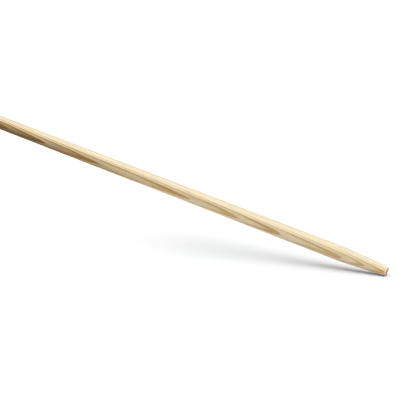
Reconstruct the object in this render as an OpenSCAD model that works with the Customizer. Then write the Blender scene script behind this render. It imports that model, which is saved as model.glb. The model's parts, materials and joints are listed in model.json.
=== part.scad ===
// Wooden extension pole for a paint roller or a brush: one turned length of softwood.
//
// The shaft is a plain round stick. At the working end a long taper pushes into the
// socket of the tool, and the butt end is domed to sit in the palm. Everything is cut in
// the same piece of wood, so the whole pole is one sub-part.
//
// Frame: the origin is the centre of the tip's flat face, and the pole lies along +X.

/* [Shaft] */
// Length of the whole pole, from the tip's face to the top of the dome
pole_len = 1200; // [600:50:1800]
// Diameter of the shaft
shaft_d = 25; // [22:0.5:30]

/* [Tapered tip] */
// Length of the taper, from the tip's face to where its straight side would meet the shaft
taper_len = 78; // [60:1:100]
// Diameter that the taper's straight side would have at the tip's face
tip_d = 15.2; // [13:0.2:18]
// Length of the soft shoulder that blends the taper into the shaft
shoulder_len = 24; // [10:1:30]
// Length of the broken edge round the tip's face, along the pole
tip_edge_len = 1.6; // [0.8:0.2:3]
// Depth of the broken edge at the tip's face, towards the pole's axis
tip_edge_depth = 0.9; // [0.4:0.1:2]

/* [Butt end] */
// Radius that rounds the butt's edge
butt_edge_r = 8; // [4:0.5:9]
// Radius of the crown over the middle of the butt
butt_crown_r = 30; // [20:1:60]

/* [Hidden] */

shaft_r = shaft_d / 2;
tip_r = tip_d / 2;
taper_angle = atan((shaft_r - tip_r) / taper_len);

// The shoulder is an arc that is tangent to the taper's side and to the shaft. It starts and
// ends about half its length before and after the point where those two lines would meet.
shoulder_r = shoulder_len / 2 / tan(taper_angle / 2);
shoulder_end = taper_len + shoulder_len / 2;

// The dome is an edge arc that is tangent to the shaft, and a crown arc that is tangent to it
// and crosses the axis at a right angle. They meet at this angle from the axis.
crown_angle = asin((shaft_r - butt_edge_r) / (butt_crown_r - butt_edge_r));
butt_edge_x = pole_len - butt_crown_r + (butt_crown_r - butt_edge_r) * cos(crown_angle);

SHOULDER_STEPS = 8;
EDGE_STEPS = 12;
CROWN_STEPS = 4;

// Points of an arc as [radius, length along the pole], from one angle to another. The angle is
// 0 where the arc faces away from the axis, and 90 where it faces the butt.
function arc(centre, r, from, to, steps) = [
    for (i = [0 : steps])
        let (a = from + (to - from) * i / steps)
        [centre[0] + r * cos(a), centre[1] + r * sin(a)]
];

// Half the pole's outline, from the middle of the tip's face to the middle of the dome.
outline = concat(
    [[0, 0]],
    [[tip_r + tip_edge_len * tan(taper_angle) - tip_edge_depth, 0]],
    [[tip_r + tip_edge_len * tan(taper_angle), tip_edge_len]],
    arc([shaft_r - shoulder_r, shoulder_end], shoulder_r, -taper_angle, 0, SHOULDER_STEPS),
    arc([shaft_r - butt_edge_r, butt_edge_x], butt_edge_r, 0, 90 - crown_angle, EDGE_STEPS),
    [for (i = [1 : CROWN_STEPS])
        let (a = crown_angle * (1 - i / CROWN_STEPS))
        [butt_crown_r * sin(a), pole_len - butt_crown_r * (1 - cos(a))]]
);

// The pole: its outline turned about its own axis and laid along +X.
module pole() {
    color("burlywood")
        rotate([0, 90, 0])
            rotate_extrude($fn = 96)
                polygon(outline);
}

pole();
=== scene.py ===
"""The looks of a wooden extension pole for a paint roller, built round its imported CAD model.

The pole is one turned length of softwood. Its CAD node gives the size and the place, and a finer
mesh with the same outline stands for it here, because the CAD node's facets would show. All
lengths are in metres unless a name ends in _MM, and the named angles are in degrees.
"""

import json
import math

import bpy
import numpy as np
from mathutils import Matrix, Vector


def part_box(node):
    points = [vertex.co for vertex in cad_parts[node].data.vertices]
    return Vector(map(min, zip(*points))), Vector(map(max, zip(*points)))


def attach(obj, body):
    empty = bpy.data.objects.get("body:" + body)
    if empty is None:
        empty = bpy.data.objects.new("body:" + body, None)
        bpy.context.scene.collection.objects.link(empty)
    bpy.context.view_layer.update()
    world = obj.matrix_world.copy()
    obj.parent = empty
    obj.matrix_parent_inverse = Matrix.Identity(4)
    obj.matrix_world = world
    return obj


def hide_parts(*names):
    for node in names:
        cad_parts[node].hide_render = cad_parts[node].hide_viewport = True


# How the pole stands on the floor: it rests on its tip and rises towards the butt.
POLE_RISE = 12.9

# The camera's horizon is level. It looks down on the floor, from round towards the tip's side.
CAMERA_AT = (-0.3162, 1.4376, 0.5863)
CAMERA_PITCH = 15.0
CAMERA_TURN = 28.0
CAMERA_LENS_MM = 83.9

# The light: a wide soft source overhead, and a room that is pale above and warm and dim below.
# The room fades from one to the other between two heights, as sines of the angle over the horizon.
KEY_WIDTH = 80.0
KEY_STRENGTH = 2.85
KEY_COLOUR = (0.985, 1.0, 1.03)
ROOM_ABOVE = (0.45, 0.47, 0.49)
ROOM_BELOW = (0.28, 0.24, 0.17)
ROOM_FADE_FROM = -0.3
ROOM_FADE_TO = 0.1

# How the camera's film answers to light, between black and white: a little more contrast.
FILM_CURVE = [(0.22, 0.175), (0.5, 0.5), (0.78, 0.815)]

# The floor gives off a faint cool painted glow of its own, which cools its shadows. Between two
# distances behind the tip it grows whiter, and the glare there drowns the pole's shadow.
FLOOR_HALF = 12.0
FLOOR_WHITE = (0.749, 0.720, 0.675)
FLOOR_GLARE = (0.85, 0.80, 0.745)
PAINTED_FLOOR_GLOW = (0.0, 0.03, 0.075)
FLOOR_ROUGHNESS = 0.9
GLARE_FROM = 0.32
GLARE_TO = 0.47

# The sheet of floor that throws light back at the pole, just over the rest, and the backdrop.
SHEET_HALF_X = 0.58
SHEET_HALF_Y = 0.35
SHEET_LIFT = 0.0001
BACKDROP_R = 20.0
BACKDROP_GLOW = 1.05

# The tapered tip, as in the CAD model, and the softness of its worn corners.
TAPER_LEN = 0.078
TIP_R = 0.0076
SHOULDER_LEN = 0.024
TIP_EDGE_LEN = 0.0016
TIP_EDGE_DEPTH = 0.0009
FACE_CORNER_R = 0.0003
EDGE_CORNER_R = 0.0012

# The domed butt, as in the CAD model.
BUTT_EDGE_R = 0.008
BUTT_CROWN_R = 0.030

# The mesh's divisions: how many sides it has, and the length of its steps on each stretch.
SIDES = 128
SHAFT_STEP = 0.0025
TAPER_STEP = 0.0007
END_STEP = 0.0005

# The map that the pole is unrolled on, which is 1 wide: how much of each end is mapped as a flat
# disc, measured along the outline, the width that is kept for the discs, and the gap round a piece.
TIP_FACE_LEN = 0.0087
BUTT_FACE_LEN = 0.012
ENDS_WIDTH = 0.14
MAP_GAP = 0.01

# How far the surface stands out: hard latewood over soft earlywood, the cutter's marks round the
# taper, and the long unevenness that sanding leaves on the shaft. That is a slow wave and a weaker
# quick one, both in radians a metre.
LATE_RELIEF = 0.00005
CUTTER_RELIEF = 0.000018
CUTTER_PITCH = 0.0031
SANDING_RELIEF = 0.00004
SANDING_SLOW = 41.0
SANDING_QUICK = 73.0
QUICK_SHARE = 0.6

# The tree's rings. The pith is a line outside the pole, on the side that PITH_ANGLE gives, measured
# from +Y towards +Z. It comes nearer to the pole towards the butt, so the rings run out of the wood
# on that side in long flames that point at the tip. Ring 0 starts TIP_RING_MM from the pith, and the
# wood is darker and warmer in the rings from the one set below inwards, towards the pith.
PITH_ANGLE = -6.0
PITH_AWAY_MM = 70.0
GRAIN_SLOPE = 0.0261
RING_MM = 3.2
TIP_RING_MM = 62.93
DARKER_FROM_RING = -7.0
DARKER_FADE_RINGS = 0.1

# How the rings leave their line: in one long wave, in a drift, and in a fine raggedness. The drift
# is that of a stretch of an endless log, picked so that the flames lie where the real pole's do.
WANDER_MM = 0.853
WANDER_WAVE_MM = 540.0
WANDER_CREST_MM = 371.0
DRIFT_MM = 1.3
DRIFT_FROM_MM = 19224.0
RAGGED_MM = 0.18

# The share of latewood across one ring, from the spring edge to the autumn edge, and the place of
# the latewood's middle.
RING_PROFILE = [
    (0.0, 0.5),
    (0.015, 0.0),
    (0.38, 0.04),
    (0.53, 0.22),
    (0.66, 0.66),
    (0.78, 0.96),
    (0.985, 1.0),
    (1.0, 0.5),
]
LATE_MIDDLE = 0.83

# Each ring has a draw of its own, and a high one makes its latewood darker and wider. The weakest
# ring has this share of the strongest one's latewood. The place across a ring is raised to a power,
# which is high in a ring with narrow latewood. The seed picks draws that suit the real pole's flames.
WEAKEST_RING = 0.65
NARROW_POWER = 1.3
WIDE_POWER = 0.8
RING_SEED = 62607

# The sizes of the wood's features along the pole, across it and up.
DRIFT_SIZE_MM = (70.0, 9.0, 9.0)
RAGGED_SIZE_MM = (14.0, 0.8, 0.8)
FIBRE_SIZE_MM = (60.0, 0.22, 0.22)
STREAK_SIZE_MM = (220.0, 2.2, 2.2)
MOTTLE_SIZE_MM = (30.0, 7.0, 7.0)
CANAL_SIZE_MM = (16.0, 0.34, 0.34)
RIM_PATCH_SIZE_MM = (2.5, 2.5, 2.5)

# A resin canal shows where its noise is high, and more so in latewood. End grain shows where the
# surface faces along the pole, and the lighter rim is the edge of the tip that does not: partly worn
# wood and partly a painted highlight where that edge catches the light.
CANAL_FROM = 0.72
CANAL_TO = 0.80
CANAL_IN_EARLY = 0.3
CANAL_IN_LATE = 0.9
END_FROM = 0.55
END_TO = 0.98
RIM_FROM_MM = 1.6
RIM_TO_MM = 2.8

# How much lighter and darker the fibres, the streaks and the mottling make the wood.
FIBRE_SHADE = 0.50
STREAK_SHADE = 0.40
MOTTLE_SHADE = 0.16

# The wood's colours, in linear light. The inner rings' and the end grain's are multiplied on.
EARLY_COLOUR = (0.705, 0.592, 0.395)
LATE_COLOUR = (0.525, 0.302, 0.080)
INNER_RINGS_COLOUR = (0.84, 0.75, 0.60)
CANAL_COLOUR = (0.26, 0.15, 0.06)
END_COLOUR = (0.80, 0.70, 0.68)
# The rim's colour is partly worn wood and partly a painted highlight.
RIM_WEAR_AND_HIGHLIGHT_COLOUR = (0.82, 0.69, 0.46)

# The roughness of latewood and of earlywood, what the fibres and the end grain do to it, and the
# strength of the shine.
SMOOTH_WOOD = 0.30
ROUGH_WOOD = 0.40
FIBRE_ROUGH = 0.2
END_ROUGH = 0.25
SHINE = 1.0

# The bump of the fine grain: its height, its strength, and how far latewood stands up and a canal
# sinks for one height of a fibre.
GRAIN_BUMP = 0.00004
BUMP_STRENGTH = 0.6
LATE_BUMP = 0.8
CANAL_BUMP = -1.0

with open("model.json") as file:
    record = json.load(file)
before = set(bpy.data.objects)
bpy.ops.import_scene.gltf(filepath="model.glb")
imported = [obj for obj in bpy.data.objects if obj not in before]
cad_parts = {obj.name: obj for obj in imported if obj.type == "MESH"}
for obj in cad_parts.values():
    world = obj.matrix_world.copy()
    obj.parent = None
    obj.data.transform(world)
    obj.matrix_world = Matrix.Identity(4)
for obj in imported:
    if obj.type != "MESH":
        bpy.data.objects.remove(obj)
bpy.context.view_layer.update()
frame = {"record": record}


def direction(angle):
    """Unit vector at an angle in degrees round the pole, from +Y towards +Z."""
    return Vector((0.0, math.cos(math.radians(angle)), math.sin(math.radians(angle))))


def floor_axes():
    """The floor's own directions in the pole's frame: along the pole, across it, and up."""
    rise = math.radians(POLE_RISE)
    up = Vector((math.sin(rise), 0.0, math.cos(rise)))
    along = Vector((math.cos(rise), 0.0, -math.sin(rise)))
    return along, up.cross(along), up


def make_camera():
    """The camera, with its horizon level with the floor."""
    along, across, up = floor_axes()
    turn = math.radians(CAMERA_TURN)
    pitch = math.radians(CAMERA_PITCH)
    level = across * math.cos(turn) - along * math.sin(turn)
    back = level * math.cos(pitch) + up * math.sin(pitch)
    right = up.cross(back).normalized()
    axes = Matrix((right, back.cross(right), back)).transposed()
    data = bpy.data.cameras.new("camera")
    data.lens = CAMERA_LENS_MM
    camera = bpy.data.objects.new("camera", data)
    camera.matrix_world = Matrix.Translation(CAMERA_AT) @ axes.to_4x4()
    bpy.context.scene.collection.objects.link(camera)
    bpy.context.scene.camera = camera


def arc(centre, radius, start, stop, step):
    """Points of an arc as (length along the pole, radius), a step or less apart.

    The angle is in radians, 0 where the arc faces away from the axis, and a quarter turn where it
    faces the butt.
    """
    count = max(3, math.ceil(radius * abs(stop - start) / step))
    return [
        (centre[0] + radius * math.sin(a), centre[1] + radius * math.cos(a))
        for a in np.linspace(start, stop, count + 1)
    ]


def corner(place, before, after, radius, step):
    """The arc that rounds a corner between two straight sides, given their slopes in radians."""
    reach = radius * math.tan((before - after) / 2)
    start_x = place[0] - reach * math.cos(before)
    start_r = place[1] - reach * math.sin(before)
    centre = (start_x + radius * math.sin(before), start_r - radius * math.cos(before))
    return arc(centre, radius, -before, -after, step)


def side(start, stop, step):
    """Points of a straight side between two points, both left out."""
    count = max(1, math.ceil(math.dist(start, stop) / step))
    return [tuple(p) for p in np.linspace(start, stop, count + 1)[1:-1]]


def outline(length, shaft_r):
    """Half the pole's outline from the middle of the tip's face to the middle of the dome."""
    taper = math.atan((shaft_r - TIP_R) / TAPER_LEN)
    edge_r = TIP_R + math.tan(taper) * TIP_EDGE_LEN
    edge = math.atan(TIP_EDGE_DEPTH / TIP_EDGE_LEN)
    shoulder_r = SHOULDER_LEN / 2 / math.tan(taper / 2)
    meeting = math.asin((shaft_r - BUTT_EDGE_R) / (BUTT_CROWN_R - BUTT_EDGE_R))
    dome_x = length - BUTT_CROWN_R + (BUTT_CROWN_R - BUTT_EDGE_R) * math.cos(meeting)
    crown_from = math.pi / 2 - meeting
    bends = [
        corner((0.0, edge_r - TIP_EDGE_DEPTH), math.pi / 2, edge, FACE_CORNER_R, END_STEP),
        corner((TIP_EDGE_LEN, edge_r), edge, taper, EDGE_CORNER_R, END_STEP),
        corner((TAPER_LEN, shaft_r), taper, 0.0, shoulder_r, TAPER_STEP),
        arc((dome_x, shaft_r - BUTT_EDGE_R), BUTT_EDGE_R, 0.0, crown_from, END_STEP),
        arc((length - BUTT_CROWN_R, 0.0), BUTT_CROWN_R, crown_from, math.pi / 2, END_STEP)[1:],
    ]
    steps = [END_STEP, END_STEP, TAPER_STEP, SHAFT_STEP, END_STEP]
    points = [(0.0, 0.0)]
    for bend, step in zip(bends, steps):
        points += side(points[-1], bend[0], step) + bend
    points[-1] = (length, 0.0)
    return np.array(points)


def ring_phase(places):
    """Which of the tree's rings each place is in, as in ring_nodes(), but without the noise."""
    x, y, z = places.T * 1000.0
    wander = WANDER_MM * np.cos(2 * np.pi * (x - WANDER_CREST_MM) / WANDER_WAVE_MM)
    away = PITH_AWAY_MM - GRAIN_SLOPE * x - wander
    pith_side = direction(PITH_ANGLE)
    outward = away - (y * pith_side.y + z * pith_side.z)
    aside = z * pith_side.y - y * pith_side.z
    return (np.hypot(outward, aside) - TIP_RING_MM) / RING_MM


def relief(places, turns):
    """How far out each place of the surface stands, in metres."""
    late = np.cos(2 * np.pi * (ring_phase(places) - LATE_MIDDLE)) / 2
    x = places[:, 0]
    before_shaft = np.clip((TAPER_LEN - x) / SHOULDER_LEN, 0.0, 1.0)
    past_edge = np.clip(x / TIP_EDGE_LEN - 1.0, 0.0, 1.0)
    on_taper = before_shaft * past_edge
    cutter = np.cos(2 * np.pi * (x / CUTTER_PITCH) + turns) * on_taper
    slow = np.sin(SANDING_SLOW * x + turns)
    quick = np.sin(SANDING_QUICK * x - 2.0 * turns + 1.0) * QUICK_SHARE
    sanding = (slow + quick) * (1.0 - on_taper) / 2
    return late * LATE_RELIEF + cutter * CUTTER_RELIEF + sanding * SANDING_RELIEF


def turned_mesh(name, points):
    """A closed mesh made by turning an outline round the X axis, with the wood's relief on it."""
    rings = points[1:-1]
    normals = np.gradient(points, axis=0)[1:-1]
    normals = np.column_stack((-normals[:, 1], normals[:, 0]))
    normals /= np.linalg.norm(normals, axis=1)[:, None]
    turns = math.radians(PITH_ANGLE + 180.0) + np.arange(SIDES) * 2 * math.pi / SIDES
    round_the_pole = np.column_stack((np.zeros(SIDES), np.cos(turns), np.sin(turns)))
    places = rings[:, None, :1] * (1.0, 0.0, 0.0) + rings[:, None, 1:] * round_the_pole
    outward = normals[:, None, :1] * (1.0, 0.0, 0.0) + normals[:, None, 1:] * round_the_pole
    places = places.reshape(-1, 3)
    height = relief(places, np.tile(turns, len(rings)))
    places += outward.reshape(-1, 3) * height[:, None]
    tip, butt = len(places), len(places) + 1
    places = np.vstack((places, (points[0, 0], 0, 0), (points[-1, 0], 0, 0)))
    faces = []
    last = (len(rings) - 1) * SIDES
    for turn in range(SIDES):
        after = (turn + 1) % SIDES
        faces.append((tip, after, turn))
        for low in range(0, last, SIDES):
            faces.append((low + turn, low + after, low + SIDES + after, low + SIDES + turn))
        faces.append((butt, last + turn, last + after))
    mesh = bpy.data.meshes.new(name)
    mesh.from_pydata(places.tolist(), [], faces)
    mesh.shade_smooth()
    return mesh


def unroll(mesh, points):
    """Maps the pole's side as two long strips, one above the other, and its two ends as flat discs.

    The tip's half of the pole is in the lower half of the map, and the butt's is in the upper half.
    The map has the name that the exporter looks for, so that the wood's fine grain has the room
    across the pole that it needs.
    """
    travel = np.append(0.0, np.cumsum(np.linalg.norm(np.diff(points, axis=0), axis=1)))
    along = np.append(np.repeat(travel[1:-1], SIDES), (travel[0], travel[-1]))
    turn = np.append(np.tile(np.arange(SIDES) / SIDES, len(points) - 2), (0.0, 0.0))
    across = np.array([v.co.yz for v in mesh.vertices])
    on_butt = along > travel[-1] / 2
    on_end = (along < TIP_FACE_LEN) | (along > travel[-1] - BUTT_FACE_LEN)
    disc = np.zeros_like(across)
    for half in (on_butt, ~on_butt):
        disc[half] = across[half] / np.abs(across[half & on_end]).max() * (ENDS_WIDTH / 2 - MAP_GAP)
    disc += (1.0 - ENDS_WIDTH / 2, 0.25)
    disc[on_butt] += (0.0, 0.5)
    layer = mesh.uv_layers.new(name="OFBake")
    for face in mesh.polygons:
        corners = list(face.vertices)
        if on_end[corners].all():
            places = disc[corners]
        else:
            second = along[corners].mean() > travel[-1] / 2
            u = along[corners] / travel[-1] * 2 - second
            v = np.where(turn[corners] < turn[corners].max() - 0.5, turn[corners] + 1.0, turn[corners])
            u = MAP_GAP + u * (1.0 - ENDS_WIDTH - 2 * MAP_GAP)
            v = MAP_GAP + v * (0.5 - 2 * MAP_GAP) + second / 2
            places = np.column_stack((u, v))
        for loop, place in zip(face.loop_indices, places):
            layer.data[loop].uv = place


class Graph:
    """Adds nodes to one material and wires them, so that a material reads as a list of steps."""

    def __init__(self, name):
        self.material = bpy.data.materials.new(name)
        self.material.use_nodes = True
        self.tree = self.material.node_tree
        self.shader = self.tree.nodes["Principled BSDF"]

    def put(self, socket, value):
        """Wires a socket to another node's output, or sets it to a plain value."""
        if isinstance(value, bpy.types.NodeSocket):
            self.tree.links.new(value, socket)
        else:
            socket.default_value = value

    def node(self, kind, **settings):
        """A new node with the given settings."""
        node = self.tree.nodes.new(kind)
        for key, value in settings.items():
            setattr(node, key, value)
        return node

    def math(self, operation, *values, clamp=False):
        """The result of one step of arithmetic on plain numbers."""
        node = self.node("ShaderNodeMath", operation=operation, use_clamp=clamp)
        for socket, value in zip(node.inputs, values):
            self.put(socket, value)
        return node.outputs[0]

    def vector(self, operation, *values):
        """The result of one step of arithmetic on vectors."""
        node = self.node("ShaderNodeVectorMath", operation=operation)
        for socket, value in zip(node.inputs, values):
            self.put(socket, value)
        return node.outputs["Value" if operation == "DOT_PRODUCT" else "Vector"]

    def noise(self, place, stretch, detail=2.0, roughness=0.5):
        """Noise from about 0 to 1, whose grains are stretch millimetres long on each axis."""
        node = self.node("ShaderNodeTexNoise")
        self.put(node.inputs["Vector"], self.vector("DIVIDE", place, stretch))
        self.put(node.inputs["Scale"], 1.0)
        self.put(node.inputs["Detail"], detail)
        self.put(node.inputs["Roughness"], roughness)
        return node.outputs[0]

    def ramp(self, value, stops):
        """A value's number, read off a list of (value, number)."""
        node = self.node("ShaderNodeValToRGB")
        marks = node.color_ramp.elements
        while len(marks) < len(stops):
            marks.new(1.0)
        for mark, (place, height) in zip(marks, stops):
            mark.position = place
            mark.color = (height, height, height, 1.0)
        self.put(node.inputs[0], value)
        return node.outputs[0]

    def between(self, value, low, high):
        """0 below one value, 1 above the other, and a smooth rise between them."""
        node = self.node("ShaderNodeMapRange", interpolation_type="SMOOTHSTEP")
        self.put(node.inputs["Value"], value)
        self.put(node.inputs["From Min"], low)
        self.put(node.inputs["From Max"], high)
        return node.outputs["Result"]

    def mix(self, share, first, second, blend="MIX"):
        """The second colour over the first, by a share from 0 to 1."""
        node = self.node("ShaderNodeMix", data_type="RGBA", blend_type=blend)
        for name, value in (("Factor", share), ("A", first), ("B", second)):
            socket = next(s for s in node.inputs if s.name == name and s.enabled)
            self.put(socket, (*value, 1.0) if isinstance(value, tuple) else value)
        return next(s for s in node.outputs if s.enabled)

    def grey(self, value):
        """A grey with the same number in all three channels."""
        node = self.node("ShaderNodeCombineColor")
        for socket in node.inputs:
            self.put(socket, value)
        return node.outputs[0]


def ring_nodes(wood, at_mm, x):
    """Nodes for which of the tree's rings a place is in, counted outwards from the one at the tip."""
    past_crest = wood.math("SUBTRACT", x, WANDER_CREST_MM)
    turns = wood.math("MULTIPLY", past_crest, 2 * math.pi / WANDER_WAVE_MM)
    wander = wood.math("MULTIPLY", wood.math("COSINE", turns), WANDER_MM)
    away = wood.math("MULTIPLY_ADD", x, -GRAIN_SLOPE, PITH_AWAY_MM)
    away = wood.math("SUBTRACT", away, wander)
    towards_pith = wood.vector("DOT_PRODUCT", at_mm, direction(PITH_ANGLE))
    outward = wood.math("SUBTRACT", away, towards_pith)
    aside = wood.vector("DOT_PRODUCT", at_mm, direction(PITH_ANGLE + 90.0))
    squares = wood.math("ADD", wood.math("POWER", outward, 2.0), wood.math("POWER", aside, 2.0))
    radius = wood.math("SQRT", squares)
    in_log = wood.vector("ADD", at_mm, (DRIFT_FROM_MM, 0.0, 0.0))
    drift = wood.noise(in_log, DRIFT_SIZE_MM, detail=1.0)
    ragged = wood.noise(at_mm, RAGGED_SIZE_MM, detail=3.0, roughness=0.6)
    warped = wood.math("MULTIPLY_ADD", wood.math("SUBTRACT", drift, 0.5), DRIFT_MM, radius)
    warped = wood.math("MULTIPLY_ADD", wood.math("SUBTRACT", ragged, 0.5), RAGGED_MM, warped)
    return wood.math("DIVIDE", wood.math("SUBTRACT", warped, TIP_RING_MM), RING_MM)


def softwood():
    """Turned and sanded pine: rings round a distant pith, fibres along the pole, end grain."""
    wood = Graph("softwood")
    at = wood.node("ShaderNodeTexCoord").outputs["Object"]
    at_mm = wood.vector("MULTIPLY", at, (1000.0, 1000.0, 1000.0))
    split = wood.node("ShaderNodeSeparateXYZ")
    wood.put(split.inputs[0], at_mm)
    x = split.outputs["X"]
    ring = ring_nodes(wood, at_mm, x)
    ring_draw = wood.node("ShaderNodeTexWhiteNoise", noise_dimensions="1D")
    wood.put(ring_draw.inputs["W"], wood.math("ADD", wood.math("FLOOR", ring), RING_SEED))
    draw = ring_draw.outputs["Value"]

    power = wood.math("MULTIPLY_ADD", draw, WIDE_POWER - NARROW_POWER, NARROW_POWER)
    strength = wood.math("MULTIPLY_ADD", draw, 1.0 - WEAKEST_RING, WEAKEST_RING)
    late = wood.ramp(wood.math("POWER", wood.math("FRACT", ring), power), RING_PROFILE)
    late = wood.math("MULTIPLY", late, strength)
    # Darker and warmer wood in the rings from the set one inwards, towards the pith.
    outer_rings = wood.between(ring, DARKER_FROM_RING, DARKER_FROM_RING + DARKER_FADE_RINGS)
    inner_rings = wood.math("SUBTRACT", 1.0, outer_rings)
    fibre = wood.noise(at_mm, FIBRE_SIZE_MM, detail=3.0, roughness=0.65)
    streak = wood.noise(at_mm, STREAK_SIZE_MM, detail=3.0)
    mottle = wood.noise(at_mm, MOTTLE_SIZE_MM, detail=1.0)
    canal = wood.between(wood.noise(at_mm, CANAL_SIZE_MM, detail=0.0), CANAL_FROM, CANAL_TO)
    clear = wood.math("MULTIPLY_ADD", late, CANAL_IN_LATE - CANAL_IN_EARLY, CANAL_IN_EARLY)
    canal = wood.math("MULTIPLY", canal, clear)

    colour = wood.mix(late, EARLY_COLOUR, LATE_COLOUR)
    colour = wood.mix(inner_rings, colour, wood.mix(1.0, colour, INNER_RINGS_COLOUR, blend="MULTIPLY"))
    colour = wood.mix(canal, colour, CANAL_COLOUR)
    shade = 1.0
    for noise, amount in ((fibre, FIBRE_SHADE), (streak, STREAK_SHADE), (mottle, MOTTLE_SHADE)):
        shade = wood.math("MULTIPLY_ADD", wood.math("SUBTRACT", noise, 0.5), amount, shade)
    colour = wood.mix(1.0, colour, wood.grey(shade), blend="MULTIPLY")

    facing = wood.node("ShaderNodeSeparateXYZ")
    wood.put(facing.inputs[0], wood.node("ShaderNodeNewGeometry").outputs["Normal"])
    endwise = wood.math("ABSOLUTE", facing.outputs["X"])
    end = wood.between(endwise, END_FROM, END_TO)
    # The tip's rim is lightened in patches: partly a worn, bruised edge and partly a painted highlight
    # where the edge catches the light.
    near_tip = wood.math("SUBTRACT", 1.0, wood.between(x, RIM_FROM_MM, RIM_TO_MM))
    worn_and_highlit_rim = wood.math("MULTIPLY", near_tip, wood.math("SUBTRACT", 1.0, end))
    rim_patches = wood.noise(at_mm, RIM_PATCH_SIZE_MM, detail=3.0)
    colour = wood.mix(wood.math("MULTIPLY", worn_and_highlit_rim, rim_patches), colour, RIM_WEAR_AND_HIGHLIGHT_COLOUR)
    colour = wood.mix(end, colour, wood.mix(1.0, colour, END_COLOUR, blend="MULTIPLY"))
    wood.put(wood.shader.inputs["Base Color"], colour)

    rough = wood.math("MULTIPLY_ADD", late, SMOOTH_WOOD - ROUGH_WOOD, ROUGH_WOOD)
    rough = wood.math("MULTIPLY_ADD", wood.math("SUBTRACT", fibre, 0.5), FIBRE_ROUGH, rough)
    rough = wood.math("MULTIPLY_ADD", end, END_ROUGH, rough, clamp=True)
    wood.put(wood.shader.inputs["Roughness"], rough)
    wood.shader.inputs["Specular IOR Level"].default_value = SHINE

    height = wood.math("MULTIPLY_ADD", late, LATE_BUMP, fibre)
    height = wood.math("MULTIPLY_ADD", canal, CANAL_BUMP, height)
    bump = wood.node("ShaderNodeBump")
    bump.inputs["Strength"].default_value = BUMP_STRENGTH
    bump.inputs["Distance"].default_value = GRAIN_BUMP
    wood.put(bump.inputs["Height"], height)
    wood.put(wood.shader.inputs["Normal"], bump.outputs["Normal"])
    return wood.material


def make_pole():
    """The pole, which stands for its CAD node."""
    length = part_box("pole")[1].x
    shaft = next(m for m in frame["record"]["mounts"] if m["name"] == "shaft")
    points = outline(length, shaft["dims"]["r_mm"] / 1000)
    mesh = turned_mesh("turned_pole", points)
    unroll(mesh, points)
    pole = bpy.data.objects.new("turned_pole", mesh)
    bpy.context.scene.collection.objects.link(pole)
    mesh.materials.append(softwood())
    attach(pole, "root")
    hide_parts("pole")
    return pole


def flat_sheet(name, half_x, half_y, centre):
    """A level rectangle on the floor, as one face."""
    along, across, _ = floor_axes()
    signs = ((-1, -1), (1, -1), (1, 1), (-1, 1))
    corners = [centre + along * half_x * i + across * half_y * j for i, j in signs]
    mesh = bpy.data.meshes.new(name)
    mesh.from_pydata(corners, [], [(0, 1, 2, 3)])
    sheet = bpy.data.objects.new(name, mesh)
    bpy.context.scene.collection.objects.link(sheet)
    return sheet


def floor_white():
    """The floor's white, which grows whiter behind the tip."""
    along = floor_axes()[0]
    white = Graph("white")
    at = white.node("ShaderNodeTexCoord").outputs["Object"]
    from_tip = white.vector("DOT_PRODUCT", at, along)
    glare = white.between(from_tip, GLARE_FROM, GLARE_TO)
    white.put(white.shader.inputs["Base Color"], white.mix(glare, FLOOR_WHITE, FLOOR_GLARE))
    white.shader.inputs["Roughness"].default_value = FLOOR_ROUGHNESS
    white.shader.inputs["Specular IOR Level"].default_value = 0.0
    # A painted glow: the floor gives off a faint cool light of its own, which cools its shadows.
    white.shader.inputs["Emission Color"].default_value = (*PAINTED_FLOOR_GLOW, 1.0)
    white.shader.inputs["Emission Strength"].default_value = 1.0
    return white.material


def make_floor(centre, up):
    """A plain white floor. Only a sheet of it round the tip throws light back at the pole.

    The pole's underside therefore grows darker towards the butt.
    """
    white = floor_white()
    floor = flat_sheet("floor", FLOOR_HALF, FLOOR_HALF, centre - up * SHEET_LIFT)
    floor.data.materials.append(white)
    floor.visible_diffuse = False
    floor.visible_glossy = False
    sheet = flat_sheet("sheet", SHEET_HALF_X, SHEET_HALF_Y, centre)
    sheet.data.materials.append(white)


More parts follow.
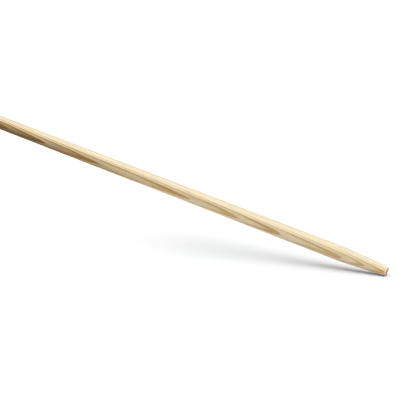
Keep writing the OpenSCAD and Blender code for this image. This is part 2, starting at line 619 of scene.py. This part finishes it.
def make_backdrop(centre):
    """A plain white backdrop far behind, which only shows and lights nothing."""
    bpy.ops.mesh.primitive_ico_sphere_add(subdivisions=4, radius=BACKDROP_R, location=centre)
    backdrop = bpy.context.object
    backdrop.name = "backdrop"
    glow = Graph("backdrop")
    glow.shader.inputs["Base Color"].default_value = (0.0, 0.0, 0.0, 1.0)
    glow.shader.inputs["Specular IOR Level"].default_value = 0.0
    glow.shader.inputs["Emission Color"].default_value = (1.0, 1.0, 1.0, 1.0)
    glow.shader.inputs["Emission Strength"].default_value = BACKDROP_GLOW
    backdrop.data.materials.append(glow.material)
    backdrop.visible_diffuse = False
    backdrop.visible_glossy = False
    backdrop.visible_transmission = False
    backdrop.visible_shadow = False


def make_stage(pole):
    """The floor under the pole's lowest point, and the backdrop round it."""
    up = floor_axes()[2]
    centre = up * min(up.dot(v.co) for v in pole.data.vertices)
    make_floor(centre, up)
    make_backdrop(centre)


def make_key():
    """A broad soft light from overhead, even over the whole floor."""
    up = floor_axes()[2]
    data = bpy.data.lights.new("key", "SUN")
    data.angle = math.radians(KEY_WIDTH)
    data.energy = KEY_STRENGTH
    data.color = KEY_COLOUR
    lamp = bpy.data.objects.new("key", data)
    lamp.matrix_world = up.to_track_quat("Z", "Y").to_matrix().to_4x4()
    bpy.context.scene.collection.objects.link(lamp)


def make_room():
    """The room's own light, which comes from all round: one colour above and another below."""
    up = floor_axes()[2]
    world = bpy.data.worlds.new("room")
    world.use_nodes = True
    tree = world.node_tree
    place = tree.nodes.new("ShaderNodeTexCoord")
    upward = tree.nodes.new("ShaderNodeVectorMath")
    upward.operation = "DOT_PRODUCT"
    upward.inputs[1].default_value = up
    tree.links.new(place.outputs["Generated"], upward.inputs[0])
    share = tree.nodes.new("ShaderNodeMapRange")
    share.inputs["From Min"].default_value = ROOM_FADE_FROM
    share.inputs["From Max"].default_value = ROOM_FADE_TO
    tree.links.new(upward.outputs["Value"], share.inputs["Value"])
    room = tree.nodes.new("ShaderNodeMixRGB")
    room.inputs["Color1"].default_value = (*ROOM_BELOW, 1.0)
    room.inputs["Color2"].default_value = (*ROOM_ABOVE, 1.0)
    tree.links.new(share.outputs["Result"], room.inputs["Fac"])
    tree.links.new(room.outputs["Color"], tree.nodes["Background"].inputs["Color"])
    bpy.context.scene.world = world


def set_film():
    """The film's curve, on the channel that red, green and blue share."""
    film = bpy.context.scene.view_settings
    film.view_transform = "Standard"
    film.use_curve_mapping = True
    all_channels = film.curve_mapping.curves[3]
    for place, height in FILM_CURVE:
        all_channels.points.new(place, height)
    film.curve_mapping.update()


make_camera()
pole = make_pole()
make_stage(pole)
make_key()
make_room()
set_film()
